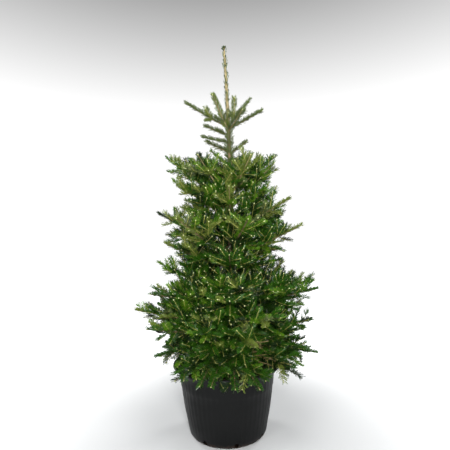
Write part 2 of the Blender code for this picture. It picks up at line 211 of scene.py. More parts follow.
# Whorls from the top down: name, bare wood, radius of the limb at the trunk, bend in degrees, and
# each limb's height on the trunk, azimuth, reach and rise.
WHORLS = (
    ("top", 0, 0.0034, 10, (
        (1.582, 178, 0.230, 31), (1.566, 236, 0.140, 45), (1.590, 30, 0.145, 50),
        (1.573, 352, 0.182, 24), (1.558, 300, 0.140, 25))),
    ("leader_spur", 0, 0.0028, 8, (
        (1.535, 189, 0.125, 19), (1.495, 162, 0.150, 17), (1.440, 204, 0.130, 17),
        (1.430, 348, 0.092, 31))),
    ("upper", 0, 0.0050, 14, (
        (1.192, 179, 0.338, 33), (1.156, 240, 0.300, 33), (1.200, 292, 0.255, 31),
        (1.156, 340, 0.242, 39), (1.196, 36, 0.310, 39), (1.160, 108, 0.300, 41))),
    ("upper_spur", 0, 0.0044, 10, (
        (1.076, 202, 0.310, 31), (1.030, 150, 0.325, 22), (1.060, 20, 0.270, 31),
        (1.020, 328, 0.330, 21), (1.048, 268, 0.280, 28))),
    ("middle", 0, 0.0058, 10, (
        (0.915, 174, 0.392, 27), (0.874, 228, 0.370, 26), (0.922, 282, 0.340, 19),
        (0.876, 336, 0.372, 21), (0.918, 36, 0.380, 28), (0.876, 104, 0.370, 27))),
    ("middle_spur", 0, 0.0054, 8, (
        (0.806, 204, 0.350, 22), (0.760, 140, 0.340, 29), (0.798, 352, 0.258, 12),
        (0.752, 60, 0.330, 30), (0.778, 268, 0.330, 18))),
    ("lower", 0, 0.0060, 8, (
        (0.668, 176, 0.385, 25), (0.636, 214, 0.440, 10), (0.672, 276, 0.400, 11),
        (0.622, 334, 0.440, 12), (0.664, 10, 0.455, 8), (0.628, 86, 0.400, 21))),
    ("broad", 0.085, 0.0072, 6, (
        (0.514, 188, 0.478, 12), (0.472, 214, 0.450, 11), (0.512, 282, 0.430, 1),
        (0.470, 344, 0.408, 12), (0.514, 48, 0.440, 11), (0.468, 128, 0.460, 16))),
    ("skirt", 0, 0.0050, -40, (
        (0.396, 194, 0.375, 0), (0.374, 228, 0.365, -5), (0.398, 256, 0.355, -9),
        (0.376, 289, 0.360, -8), (0.404, 322, 0.390, -10), (0.374, 352, 0.430, 2),
        (0.394, 62, 0.370, -4), (0.374, 130, 0.380, -3))),
)

# The pot's outer side from the foot to the lip, as (radius, height), with ribs up the wall and openings
# round the foot. Edges over SHARP_OVER degrees are creases.
POT_OUTLINE = ((0.174, 0), (0.186, 0.004), (0.1935, 0.014), (0.1975, 0.030), (0.2035, 0.064),
               (0.2185, 0.135), (0.2285, 0.200), (0.2320, 0.2335), (0.2350, 0.2375), (0.2372, 0.256),
               (0.2400, 0.280), (0.2430, 0.298), (0.2480, 0.306), (0.2600, 0.317), (0.2715, 0.326),
               (0.2745, 0.331), (0.2735, 0.3365), (0.2700, 0.338))
POT_WALL = 0.0035
POT_WALL_POINTS = slice(3, 14)
POT_FLOOR = 0.006
POT_CENTRE_RING = 0.06
POT_INNER_FOOT = ((0.170, POT_FLOOR), (0.1900, 0.0200))
POT_INNER_LIP = (0.2665, 0.3300)
POT_STEPS = 216
SHARP_OVER = 32
RIB_COUNT = 54
RIB_DEPTH = 0.0006
RIBS_FROM = 0.06
RIBS_TO = 0.290
RIBS_OUTSIDE = 0.2
DRAIN_COUNT = 8
DRAIN_PLACE = (0.174, 0, 0.018)
DRAIN_RADIUS = 0.011
DRAIN_LENGTH = 0.06

# The soil's block from its foot up the side, as (radius, height), its crumbly top and the chips of bark.
SOIL_SIDE = ((0, 0.0063), (0.165, 0.0066), (0.1895, 0.0300), (0.2135, 0.135), (0.2235, 0.200),
             (0.2285, 0.256), (0.2370, 0.289))
SOIL_EDGE_TOP = 0.2925
SOIL_DOME = 0.0035
SOIL_DOME_RINGS = 12
SOIL_RINGS = 44
SOIL_STEPS = 150
SOIL_CRUMBLY_FROM = 0.291
CHIP_COUNT = 700
CHIP_HEIGHT = 0.2975
CHIPS_FROM = 0.04
CHIPS_WITHIN = 0.228

# The stage: grey floor round the pot, turned white further out by a painted glow that only the camera
# sees, and soft light from all round. Each lamp is a
# disc: (name, place, what it points at, size, power).
FLOOR_RADIUS = 9
FLOOR_GREY_TO = 0.35
FLOOR_WHITE_FROM = 1.8
AMBIENT = 0.36
LAMPS = (("flash_key", (0.15, -2.4, 1.35), (0, 0, 0.9), 0.6, 64),
         ("fill", (-1.5, -2.0, 1.2), (0, 0, 0.8), 1.0, 16),
         ("overhead", (0, -0.9, 2.9), (0, 0, 0.6), 1.0, 22),
         ("back_left", (-2.0, 1.9, 1.6), (0, 0, 0.9), 1.0, 34),
         ("back_right", (2.0, 1.9, 1.6), (0, 0, 0.9), 1.0, 34))

# Camera: the photograph's own viewpoint.
CAMERA_PLACE = (0.007, -1.80, 0.90)
CAMERA_PITCH = 4.53
CAMERA_ROLL = -1.3
CAMERA_LENS = 27.0
SENSOR_WIDTH = 36


def linear(hex_colour):
    """An sRGB hex colour as linear RGBA."""
    parts = [int(hex_colour[i:i + 2], 16) / 255 for i in (1, 3, 5)]
    return (*[c / 12.92 if c <= 0.04045 else ((c + 0.055) / 1.055) ** 2.4 for c in parts], 1)


def add_node(material, kind, settings=None, inputs=None):
    """A shader node with its settings, its inputs set to values or linked to other nodes' outputs."""
    made = material.node_tree.nodes.new(kind)
    for key, value in (settings or {}).items():
        setattr(made, key, value)
    for key, value in (inputs or {}).items():
        if isinstance(value, bpy.types.NodeSocket):
            material.node_tree.links.new(value, made.inputs[key])
        else:
            made.inputs[key].default_value = value
    return made


def new_material(name, colour, roughness, ior=1.46):
    """A Principled material, returned with its shader node."""
    material = bpy.data.materials.new(name)
    material.use_nodes = True
    shader = material.node_tree.nodes["Principled BSDF"]
    shader.inputs["Base Color"].default_value = linear(colour)
    shader.inputs["Roughness"].default_value = roughness
    shader.inputs["IOR"].default_value = ior
    return material, shader


def link(material, output, socket):
    """Joins one shader node's output to another's input."""
    material.node_tree.links.new(output, socket)


def object_place(material):
    """Coordinates that stay with the object, in metres."""
    return add_node(material, "ShaderNodeTexCoord").outputs["Object"]


def noise_of(material, place, scale, detail):
    """Soft noise of this many patches to the metre."""
    texture = add_node(material, "ShaderNodeTexNoise", None,
                       {"Vector": place, "Scale": scale, "Detail": detail})
    return texture.outputs["Fac"]


def mottle(material, shader, patches, dark, pale):
    """A base colour that runs between two tones, each given as (where on the noise, hex colour)."""
    ramp = add_node(material, "ShaderNodeValToRGB", None, {"Fac": patches})
    for element, (position, colour) in zip(ramp.color_ramp.elements, (dark, pale)):
        element.position = position
        element.color = linear(colour)
    link(material, ramp.outputs["Color"], shader.inputs["Base Color"])


def roughen(material, shader, height, strength, distance):
    """Fine relief in the shading, on top of the relief in the mesh."""
    bump = add_node(material, "ShaderNodeBump", None,
                    {"Height": height, "Strength": strength, "Distance": distance})
    link(material, bump.outputs["Normal"], shader.inputs["Normal"])


def needle_material(name, colour, roughness):
    """Fir needle: a waxed leaf, glossy over a plain green; each spray takes one tone, and the darker and
    lighter tones also paint shade and light.
    """
    material, shader = new_material(name, colour, roughness, ior=1.45)
    shader.inputs["Specular IOR Level"].default_value = 0.36
    return material


def bark_material():
    """Young fir bark: smooth and matt, grey brown, with darker scars and pale blisters of resin."""
    material, shader = new_material("young_fir_bark", "#6b5640", 0.78)
    place = object_place(material)
    mottle(material, shader, noise_of(material, place, 60, 5), (0.34, "#3d2f20"), (0.66, "#8a7355"))
    roughen(material, shader, noise_of(material, place, 420, 3), 0.35, 0.0006)
    return material


def leader_material():
    """This year's leading shoot: smooth tan bark with an olive cast."""
    material, shader = new_material("leading_shoot_bark", "#8c7a4c", 0.62)
    patches = noise_of(material, object_place(material), 45, 4)
    mottle(material, shader, patches, (0.36, "#6a5f38"), (0.64, "#a3946a"))
    return material


def pot_material():
    """Black polypropylene, injection moulded: a soft sheen dulled by handling and some dried soil."""
    material, shader = new_material("moulded_black_polypropylene", "#090a0a", 0.40, ior=1.49)
    shader.inputs["Specular IOR Level"].default_value = 0.18
    place = object_place(material)
    rough = add_node(material, "ShaderNodeMapRange", None,
                     {"Value": noise_of(material, place, 9, 6), "From Min": 0.3, "From Max": 0.7,
                      "To Min": 0.36, "To Max": 0.56})
    link(material, rough.outputs["Result"], shader.inputs["Roughness"])
    height = add_node(material, "ShaderNodeSeparateXYZ", None, {"Vector": place})
    low = add_node(material, "ShaderNodeMapRange", None,
                   {"Value": height.outputs["Z"], "From Min": 0.0, "From Max": 0.055,
                    "To Min": 0.62, "To Max": 0.0})
    specks = add_node(material, "ShaderNodeTexNoise", None,
                      {"Vector": place, "Scale": 70, "Detail": 8, "Roughness": 0.7})
    dirt = add_node(material, "ShaderNodeMath", {"operation": "MULTIPLY"},
                    {0: low.outputs["Result"], 1: specks.outputs["Fac"]})
    mask = add_node(material, "ShaderNodeMapRange", None,
                    {"Value": dirt.outputs["Value"], "From Min": 0.20, "From Max": 0.42, "To Max": 0.55})
    colour = add_node(material, "ShaderNodeMix", {"data_type": "RGBA"},
                      {"Factor": mask.outputs["Result"], 6: linear("#090a0a"), 7: linear("#5a4332")})
    link(material, colour.outputs[2], shader.inputs["Base Color"])
    return material


def soil_material():
    """Moist peat-based potting soil: near black brown crumbs with no gloss."""
    material, shader = new_material("peat_potting_soil", "#2c1e15", 0.95)
    crumbs = noise_of(material, object_place(material), 160, 6)
    mottle(material, shader, crumbs, (0.35, "#17100b"), (0.70, "#4a3324"))
    roughen(material, shader, crumbs, 0.8, 0.003)
    return material


def add_object(name, data):
    """Puts a new object in the scene."""
    obj = bpy.data.objects.new(name, data)
    bpy.context.scene.collection.objects.link(obj)
    return obj


def place_piece(mesh, name, material, nodes=(), smooth=False):
    """Puts a finished mesh in the scene as a piece of the tree."""
    mesh.name = name
    obj = add_object(name, mesh)
    obj.data.materials.append(material)
    mesh.polygons.foreach_set("use_smooth", [smooth] * len(mesh.polygons))
    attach(obj, "root")
    if nodes:
        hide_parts(*nodes)
    return obj


def mesh_of(shape):
    """The mesh of a finished bmesh, with its faces turned outwards."""
    bmesh.ops.recalc_face_normals(shape, faces=shape.faces)
    mesh = bpy.data.meshes.new("shape")
    shape.to_mesh(mesh)
    shape.free()
    return mesh


def mesh_from_arrays(points, corners):
    """A mesh from an array of points and an array of faces that all have the same number of corners."""
    count, sides = corners.shape
    mesh = bpy.data.meshes.new("arrays")
    mesh.vertices.add(len(points))
    mesh.vertices.foreach_set("co", points.astype(np.float32).ravel())
    mesh.loops.add(count * sides)
    mesh.loops.foreach_set("vertex_index", corners.astype(np.int32).ravel())
    mesh.polygons.add(count)
    mesh.polygons.foreach_set("loop_start", np.arange(0, count * sides, sides, dtype=np.int32))
    mesh.update(calc_edges=True)
    mesh.validate()
    return mesh


def place_arrays(name, points, faces, material, nodes):
    """Puts arrays of points and faces in the scene as a smooth woody piece."""
    place_piece(mesh_from_arrays(points, faces), name, material, nodes, smooth=True)


def trunk_centre(height):
    """The trunk's centre line: a gentle bow to the right."""
    share = (height - SOIL_TOP) / (TREE_TIP - SOIL_TOP)
    return Vector((TRUNK_START_X + TRUNK_LEAN_OUT * share - TRUNK_LEAN_BACK * share**2, 0, height))


def trunk_radius(height):
    """The trunk's taper, with a flare where the roots begin."""
    left = max(TREE_TIP - height, 0) / (TREE_TIP - SOIL_TOP)
    flare = ROOT_FLARE * math.exp((SOIL_TOP - height) / ROOT_FLARE_HEIGHT)
    return TRUNK_TIP_RADIUS + TRUNK_BASE_RADIUS * left**0.8 + flare


def limb_path(root, azimuth, rise, bend, reach, steps):
    """Points of a limb that turns by bend over its inner half; rise is the slope from root to tip."""
    out = Vector((math.cos(math.radians(azimuth)), math.sin(math.radians(azimuth)), 0))
    slopes = [math.radians(rise + bend * (min((i + 0.5) * 2 / steps, 1) - 0.75)) for i in range(steps)]
    step = reach / sum(math.cos(slope) for slope in slopes)
    points = [root]
    for slope in slopes:
        points.append(points[-1] + (out * math.cos(slope) + UP * math.sin(slope)) * step)
    return points


def path_length(points):
    """The length of a path of points."""
    return sum((b - a).length for a, b in zip(points, points[1:]))


def along(points, distance):
    """The point at a distance along the path, and the heading there."""
    for a, b in zip(points, points[1:]):
        step = (b - a).length
        if distance <= step or b is points[-1]:
            return a + (b - a) * (distance / step), (b - a).normalized()
        distance -= step


def level_normal(heading):
    """The way a shoot's upper side faces."""
    return (UP - heading * UP.dot(heading)).normalized()


def side_heading(heading, normal, side, dice):
    """The heading of a side shoot, a little above the plane that the pair spans."""
    angle = math.radians(SIDE_ANGLE + dice.uniform(*SIDE_ANGLE_SPREAD))
    lift = math.radians(SIDE_LIFT + dice.uniform(*SIDE_LIFT_SPREAD))
    across = normal.cross(heading).normalized() * side
    return (heading * math.cos(angle) + across * math.sin(angle) + normal * math.sin(lift)).normalized()


def is_clear(points):
    """False where a shoot would touch the pot, the soil or the trunk."""
    for point in points[1:]:
        radius = math.hypot(point.x, point.y)
        if point.z < LIP_CLEAR_HEIGHT and LIP_CLEAR_FROM < radius < LIP_CLEAR_TO:
            return False
        if point.z < SOIL_TOP + SOIL_GAP and radius <= LIP_CLEAR_TO:
            return False
        if (point - trunk_centre(point.z)).length < trunk_radius(point.z) + TRUNK_GAP:
            return False
    return True


def shoot_path(start, heading, normal, length, curl):
    """A shoot's points: it sets out along its heading and turns by curl towards its upper side."""
    points = [start]
    for i in range(SHOOT_POINTS - 1):
        turn = math.radians(curl) * (i + 0.5) / (SHOOT_POINTS - 1)
        step = heading * math.cos(turn) + normal * math.sin(turn)
        points.append(points[-1] + step * length / (SHOOT_POINTS - 1))
    return points


def habit(whorl):
    """A whorl's yearly growth, chance of shoots between the joints, orders of shoots and side share."""
    return HABITS.get(whorl, (YEAR_GROWTH, BETWEEN_CHANCE, DEEPEST_ORDER, SIDE_SHARE))


def side_reach(left, whorl, dice):
    """The length of a side shoot at a joint that has this length left after it."""
    share = habit(whorl)[3]
    if left < TIP_PAIR_WITHIN and whorl not in HABITS:
        share = TIP_PAIR_SHARE
    return share * left * dice.uniform(*SIDE_REACH_SPREAD)


def joints(length, whorl, dice):
    """A shoot's yearly joints, counted back from its tip, as (place, length left after it)."""
    year = habit(whorl)[0]
    left = year * dice.uniform(*LAST_YEAR_SPREAD)
    while length - left > NO_JOINT_WITHIN:
        yield length - left, left
        left += year * dice.uniform(*YEAR_SPREAD)


def rolled_normal(heading, dice):
    """The upper side at a joint, rolled a little so that pairs don't all lie in one plane."""
    normal = level_normal(heading)
    return Matrix.Rotation(math.radians(dice.gauss(0, ROLL_SPREAD)), 3, heading) @ normal


def grow(start, heading, normal, length, order, whorl, dice, grown):
    """A shoot and all that branches from it, added to grown where it has room."""
    curl = dice.uniform(*(SKIRT_CURL if whorl == "skirt" else CURL))
    points = shoot_path(start, heading, normal, length, curl)
    if not is_clear(points):
        return
    grown.append({"points": points, "order": order, "length": length, "whorl": whorl})
    if order >= habit(whorl)[2]:
        return
    for place, left in joints(length, whorl, dice):
        point, onward = along(points, place)
        upper = rolled_normal(onward, dice)
        for side in (-1, 1):
            reach = side_reach(left, whorl, dice)
            if reach > SHORTEST_SHOOT and dice.random() < SIDE_CHANCE:
                aside = side_heading(onward, upper, side, dice)
                grow(point, aside, upper, reach, order + 1, whorl, dice, grown)
        grow_between(points, place, left, order, whorl, dice, grown)


def grow_between(points, place, left, order, whorl, dice, grown):
    """The shorter shoots that stand between a joint and the next one."""
    for side in (-1, 1):
        reach = BETWEEN_SHARE * left * dice.uniform(*BETWEEN_REACH_SPREAD)
        if reach > SHORTEST_SHOOT and dice.random() < habit(whorl)[1]:
            point, onward = along(points, place + YEAR_GROWTH * dice.uniform(*BETWEEN_PLACE))
            upper = rolled_normal(onward, dice)
            aside = side_heading(onward, upper, side, dice)
            grow(point, aside, upper, reach, order + 2, whorl, dice, grown)


def grow_limb(whorl, row, bend, dice):
    """One limb of a whorl with all its shoots."""
    height, azimuth, reach, rise = row
    path = limb_path(trunk_centre(height), azimuth, rise, bend, reach, LIMB_STEPS)
    length = path_length(path)
    grown = [{"points": path, "order": 0, "length": length, "whorl": whorl}]
    for place, left in joints(length, whorl, dice):
        if place < trunk_radius(height) + JOINT_GAP:
            break
        point, heading = along(path, place)
        normal = rolled_normal(heading, dice)
        for side in (-1, 1):
            aside = side_heading(heading, normal, side, dice)
            grow(point, aside, normal, side_reach(left, whorl, dice), 1, whorl, dice, grown)
        lifts = [dice.uniform(least, most) for least, most, part in OFF_PLANE]
        for lift, (least, most, part) in zip(lifts, OFF_PLANE):
            if left * part > SHORTEST_SHOOT and dice.random() < habit(whorl)[1] + OFF_PLANE_CHANCE:
                turn = math.radians(lift)
                sideways = normal.cross(heading) * dice.uniform(*OFF_PLANE_SIDEWAYS)
                raised = (heading * math.cos(turn) + normal * math.sin(turn) + sideways).normalized()
                grow(point, raised, level_normal(raised), left * part, 2, whorl, dice, grown)
        grow_between(path, place, left, 0, whorl, dice, grown)
    return grown


def outer_share(shoot):
    """How far out in the crown a shoot's tip is, from 0 at the trunk to about 1 at the outline."""
    tip = shoot["points"][-1]
    middle = trunk_centre(tip.z)
    radius = CROWN_RADIUS - CROWN_TAPER * max(tip.z - CROWN_TAPER_FROM, 0)
    return math.hypot(tip.x - middle.x, tip.y - middle.y) / max(CROWN_LEAST_RADIUS, radius)


def tone_of(shoot, dice):
    """Which of the needle tones a shoot's needles take: darker as a painted shade inside and low,
    lighter as painted light near the top, over tones dealt out at random.
    """
    if shoot["whorl"] in HABITS:
        return "olive" if dice.random() < 0.5 else "grey"
    out = outer_share(shoot) + dice.uniform(*TONE_SPREAD)
    # Shoots deep in the crown all take the darkest tone, a painted shade.
    if out < ALL_DEEP_WITHIN:
        return "deep"
    # Painted light: lighter tones grow likelier with height and on the tips that droop over the pot's
    # lip.
    height = shoot["points"][-1].z
    light = PAINTED_LIGHT_ON_TIPS if height < PAINTED_LIGHT_BELOW else min(max((height - SHADE_TO) / LIGHT_OVER, 0), 1)
    roll = dice.random()
    tones = INNER_TONES if out < INNER_WITHIN else OUTER_TONES
    return next(tone for tone, share, more in tones if roll < share + more * light)


def unit(vectors):
    """An array of vectors, each scaled to length 1."""
    return vectors / np.linalg.norm(vectors, axis=1, keepdims=True)


def off_axis(heading):
    """The upright axis, or a level one where the heading is steep."""
    return np.array((0.0, 0.0, 1.0) if abs(heading[2]) < 0.9 else (1.0, 0.0, 0.0))


def needle_places(shoots, rng):
    """Where needles stand: base, heading, share of the shoot, size, root radius, sweep and all round."""
    rows = []
    for shoot in shoots:
        points = np.array([tuple(p) for p in shoot["points"]])
        steps = points[1:] - points[:-1]
        lengths = np.linalg.norm(steps, axis=1)
        ends = np.concatenate([[0], np.cumsum(lengths)])
        first = shoot.get("bare", BARE_START) * ends[-1]
        count = int((ends[-1] - first) * shoot["needles_per_metre"])
        if count < 1:
            continue
        places = np.sort(rng.uniform(first, ends[-1], count))
        index = np.clip(np.searchsorted(ends, places, side="right") - 1, 0, len(steps) - 1)
        part = (places - ends[index]) / lengths[index]
        rows.append((points[index] + steps[index] * part[:, None],
                     steps[index] / lengths[index][:, None],
                     (places - first) / (ends[-1] - first),
                     np.full(count, min(1.0, 0.80 + 4.0 * ends[-1])),
                     np.full(count, shoot.get("needle_root", NEEDLE_ROOT_RADIUS)),
                     np.full(count, shoot.get("sweep", NEEDLE_SWEEP)),
                     np.full(count, shoot.get("all_round", False))))
    return [np.concatenate(column) for column in zip(*rows)]


def needle_arrays(shoots, seed):
    """Points and faces of all needles on the shoots: each a flat blade of two faces with a blunt tip."""
    rng = np.random.default_rng(seed)
    base, heading, share, size, radius, sweep, all_round = needle_places(shoots, rng)
    count = len(base)
    up = np.tile((0.0, 0.0, 1.0), (count, 1))
    normal = unit(up - heading * np.sum(up * heading, axis=1, keepdims=True) + 1e-6)
    across = np.cross(normal, heading)
    side = np.where(rng.random(count) < 0.5, -1.0, 1.0)
    parted = rng.triangular(*NEEDLE_PARTING, count)
    around = np.radians(np.where(all_round, rng.uniform(0, 180, count), parted)) * side
    radial = normal * np.cos(around)[:, None] + across * np.sin(around)[:, None]
    sweep = np.radians(sweep + rng.normal(0, 8, count) - 0.3 * sweep * share**4)
    length = NEEDLE_LENGTH * size * rng.uniform(0.80, 1.08, count) * (1 - 0.12 * share**6)
    outward = heading * np.cos(sweep)[:, None] + radial * np.sin(sweep)[:, None]
    onward = unit(outward + 0.30 * heading + 0.12 * up)
    tangent = np.cross(heading, radial)
    roll = rng.normal(0, NEEDLE_ROLL, count)[:, None]
    flat = (tangent * np.cos(roll) + np.cross(outward, tangent) * np.sin(roll)) * (NEEDLE_WIDTH / 2)
    root = base + radial * radius[:, None]
    tip = root + (0.45 * outward + 0.55 * onward) * length[:, None]
    points = np.stack([root + 0.5 * flat, root - 0.5 * flat, tip + 0.8 * flat, tip - 0.8 * flat], axis=1)
    first = np.arange(count)[:, None] * 4
    faces = np.concatenate([first + (0, 1, 2), first + (2, 1, 3)])
    return points.reshape(-1, 3), faces


def tube_arrays(shoots, sides, thickness):
    """Points and faces of the shoots' own twigs: tapering tubes that close at the tip."""
    all_points, all_faces, offset = [], [], 0
    turns = np.arange(sides) * math.tau / sides
    for shoot in shoots:
        points = np.array([tuple(p) for p in shoot["points"]])
        heading = unit(np.gradient(points, axis=0))
        across = unit(np.cross(off_axis(heading[0]), heading))
        upward = np.cross(heading, across)
        share = np.linspace(0, 1, len(points))
        radii = thickness(shoot, share)
        cosines, sines = np.cos(turns)[None, :, None], np.sin(turns)[None, :, None]
        ring = across[:, None, :] * cosines + upward[:, None, :] * sines
        rings = points[:, None, :] + ring * radii[:, None, None]
        tip = points[-1] + heading[-1] * radii[-1]
        all_points.append(np.concatenate([rings.reshape(-1, 3), tip[None, :], points[:1]]))
        rows, spots = np.meshgrid(np.arange(len(points) - 1), np.arange(sides), indexing="ij")
        a = (rows * sides + spots).ravel()
        b = (rows * sides + (spots + 1) % sides).ravel()
        walls = np.concatenate([np.stack([a, b, b + sides], 1), np.stack([a, b + sides, a + sides], 1)])
        last = (len(points) - 1) * sides
        spot = np.arange(sides)
        head = np.stack([last + spot, last + (spot + 1) % sides, np.full(sides, last + sides)], 1)
        foot = np.stack([(spot + 1) % sides, spot, np.full(sides, last + sides + 1)], 1)
        all_faces.append(np.concatenate([walls, head, foot]) + offset)
        offset += len(all_points[-1])
    return np.concatenate(all_points), np.concatenate(all_faces)


def bud_arrays(tips, seed):
    """Pointed buds of two rings, each (place, heading, length, radius)."""
    rng = np.random.default_rng(seed)
    sides = BUD_SIDES
    turns = np.arange(sides) * math.tau / sides
    profile = ((0.0, 0.55), (0.42, 1.0))
    points, faces = [], []
    for i, (place, heading, length, radius) in enumerate(tips):
        heading = np.array(tuple(heading))
        across = np.cross(off_axis(heading), heading)
        across /= np.linalg.norm(across)
        upward = np.cross(heading, across)
        swell = rng.uniform(0.85, 1.15)
        start = np.array(tuple(place))
        for share, width in profile:
            ring = np.outer(np.cos(turns), across) + np.outer(np.sin(turns), upward)
            points.append(start + heading * share * length + ring * radius * width * swell)
        points.append((start + heading * length)[None, :])
        points.append((start - heading * 0.15 * length)[None, :])
        spot = np.arange(sides)
        after = (spot + 1) % sides
        base = i * (2 * sides + 2)
        top, foot = np.full(sides, 2 * sides), np.full(sides, 2 * sides + 1)
        faces.append(base + np.concatenate([
            np.stack([spot, after, after + sides], 1), np.stack([spot, after + sides, spot + sides], 1),
            np.stack([spot + sides, after + sides, top], 1), np.stack([after, spot, foot], 1)]))
    return np.concatenate(points), np.concatenate(faces)


def trunk_spurs(dice):
    """Short limbs between the whorls: (whorl that each joins, its bend, and its row)."""
    height, turn = SPURS_FROM, SPURS_START
    while height < SPURS_TO:
        whorl = next(name for below, name in SPUR_WHORLS if height < below)
        reach = SPUR_REACH - SPUR_REACH_LOSS * (height - SPURS_FROM)
        reach *= dice.uniform(*SPUR_REACH_SPREAD)
        rise = dice.uniform(*SPUR_RISE)
        if height > STEEP_SPURS_FROM:
            reach, rise = reach * STEEP_SPURS_SHARE, rise + STEEP_SPURS_RISE
        yield whorl, SPUR_BEND, (height, turn + dice.uniform(*SPUR_TURN_SPREAD), reach, rise)
        height += SPUR_STEP
        turn += GOLDEN_TURN
    for i in range(FULL_SPURS):
        height = FULL_SPURS_FROM + FULL_SPURS_APART * i
        azimuth = FULL_SPURS_START + GOLDEN_TURN * i
        row = (height, azimuth, dice.uniform(*FULL_SPURS_REACH), dice.uniform(*FULL_SPURS_RISE))
        yield "broad" if height < FULL_SPURS_LOWER_FROM else "lower", FULL_SPURS_BEND, row
    for i in range(RIM_SPURS):
        azimuth = RIM_SPURS_START + RIM_SPURS_TURN * i
        reach = RIM_SPURS_REACH + 0.012 * (i % 3)
        if RIM_FRONT[0] < azimuth < RIM_FRONT[1]:
            reach *= RIM_FRONT_SHARE
        row = (RIM_SPURS_FROM + 0.016 * (i % 2), azimuth, reach, -12 - 2 * (i % 2))
        yield "skirt", RIM_SPURS_BEND, row


def is_dead(shoot):
    """True for the few side shoots that have lost their needles."""
    if shoot["order"] == 0:
        return False
    for point in shoot["points"][1:]:
        nearest, share = intersect_point_line(point, *DEAD_LINE)
        if 0 < share < 1 and (point - nearest).length < DEAD_REACH:
            return True
    return False


def needles_per_metre(shoot):
    """How densely a shoot bears needles: most at the young top, fewest in the shade inside the crown."""
    if shoot["whorl"] in HABITS:
        return TOP_NEEDLES_PER_METRE
    if shoot["order"] == 0:
        return LIMB_NEEDLES_PER_METRE
    return INNER_NEEDLES_PER_METRE if outer_share(shoot) < SPARSE_WITHIN else NEEDLES_PER_METRE


def stem_needles():
    """Needles left on the young part of the stem: plenty above the crown, few on the leading shoot."""
    for low, high, count, sweep in STEM_NEEDLES:
        heights = [low + (high - low) * i / 12 for i in range(13)]
        yield {"points": [trunk_centre(height) for height in heights], "order": 0, "length": high - low,
               "whorl": "top", "needles_per_metre": count, "sweep": sweep, "all_round": True,
               "needle_root": trunk_radius((low + high) / 2), "tone": "grey"}


def build_tree(materials):
    """All limbs, twigs, needles and buds."""
    dice = random.Random(SEED)
    by_whorl = {}
    for whorl, _, radius, bend, rows in WHORLS:
        by_whorl[whorl] = [(radius, grow_limb(whorl, row, bend, dice)) for row in rows]
    for whorl, bend, row in trunk_spurs(dice):
        by_whorl[whorl].append((SPUR_RADIUS, grow_limb(whorl, row, bend, dice)))
    for whorl, bare, _, _, rows in WHORLS:
        shoots = []
        for limb_radius, grown in by_whorl[whorl]:
            for shoot in grown:
                shoot["radius"] = limb_radius
                shoot["tone"] = "dead" if is_dead(shoot) else tone_of(shoot, dice)
                shoot["needles_per_metre"] = needles_per_metre(shoot)
                if shoot["order"] == 0:
                    shoot["bare"] = BARE_YOUNG_START if whorl in HABITS else BARE_LIMB_START
            shoots += grown
        nodes = [f"foliage_{whorl}_{i + 1}" for i in range(len(rows))]
        boughs = [f"bough_{whorl}_{i + 1}" for i in range(len(rows))] if bare else []
        build_needles(whorl, shoots, nodes, materials)
        build_twigs(whorl, shoots, nodes, nodes + boughs, materials)


def build_needles(whorl, shoots, nodes, materials):
    """A whorl's needles, joined by tone."""
    leafy = shoots + (list(stem_needles()) if whorl == "top" else [])
    for tone in ("deep", "green", "fresh", "olive", "grey"):
        toned = [shoot for shoot in leafy if shoot["tone"] == tone]
        if toned:
            mesh = mesh_from_arrays(*needle_arrays(toned, SEED + len(whorl)))
            replaced = nodes + (["trunk"] if whorl == "top" and tone == "grey" else [])
            place_piece(mesh, f"needles_{whorl}_{tone}", materials[tone], replaced)


def build_twigs(whorl, shoots, nodes, limb_nodes, materials):
    """A whorl's limbs, side shoots and buds, each kind joined."""
    limbs = [shoot for shoot in shoots if shoot["order"] == 0]
    for limb in limbs:
        limb["points"] = [along(limb["points"], limb["length"] * i / FINE_LIMB_STEPS)[0]
                          for i in range(FINE_LIMB_STEPS + 1)]
    points, faces = tube_arrays(limbs, 8, limb_radii)
    points = with_bark_relief(points, BARK_RELIEF)
    young = whorl in HABITS or whorl.startswith("upper")
    place_arrays("boughs_" + whorl, points, faces, materials["leader" if young else "bark"], limb_nodes)
    for kind, dead in (("twigs", False), ("dead_twigs", True)):
        twigs = [shoot for shoot in shoots if shoot["order"] > 0 and (shoot["tone"] == "dead") == dead]
        if twigs:
            points, faces = tube_arrays(twigs, 4, twig_radii)
            place_arrays(f"{kind}_{whorl}", points, faces, materials["dead" if dead else "twig"], nodes)
    tips = []
    for shoot in shoots:
        if shoot["tone"] != "dead":
            a, b = shoot["points"][-2:]
            size = min(1, 0.62 + 3.2 * shoot["length"])
            tips.append((b, (b - a).normalized(), BUD_LENGTH * size, BUD_RADIUS * size))
    points, faces = bud_arrays(tips, SEED)
    # Low whorls take buds darkened as a painted shade; the others take pale buds that are partly a
    # painted glint.
    scales = materials["low_bud" if whorl in LOW_BUD_WHORLS else "bud"]
    place_arrays("buds_" + whorl, points, faces, scales, nodes)


def twig_radii(shoot, share):
    """Radii along a side shoot, thicker where it has grown longest."""
    thick = 0.0011 + 0.0042 * shoot["length"]
    if shoot["tone"] == "dead":
        thick += 0.0004
    return thick + (0.0009 - thick) * share


def limb_radii(shoot, share):
    """Radii along a limb, with a collar where it joins the trunk."""
    return shoot["radius"] * (1 - 0.80 * share) + 0.0006 + 0.0022 * np.exp(-share * 26)


def with_bark_relief(points, depth):
    """Moves an array of surface points by small lumps of noise, the same ones each run."""
    noise.seed_set(SEED)
    moved = []
    for point in points:
        place = Vector(point)
        coarse, fine = noise.noise_vector(place * 90), noise.noise_vector(place * 260)
        moved.append(coarse * depth + fine * depth * 0.5)
    return points + np.array([tuple(move) for move in moved])


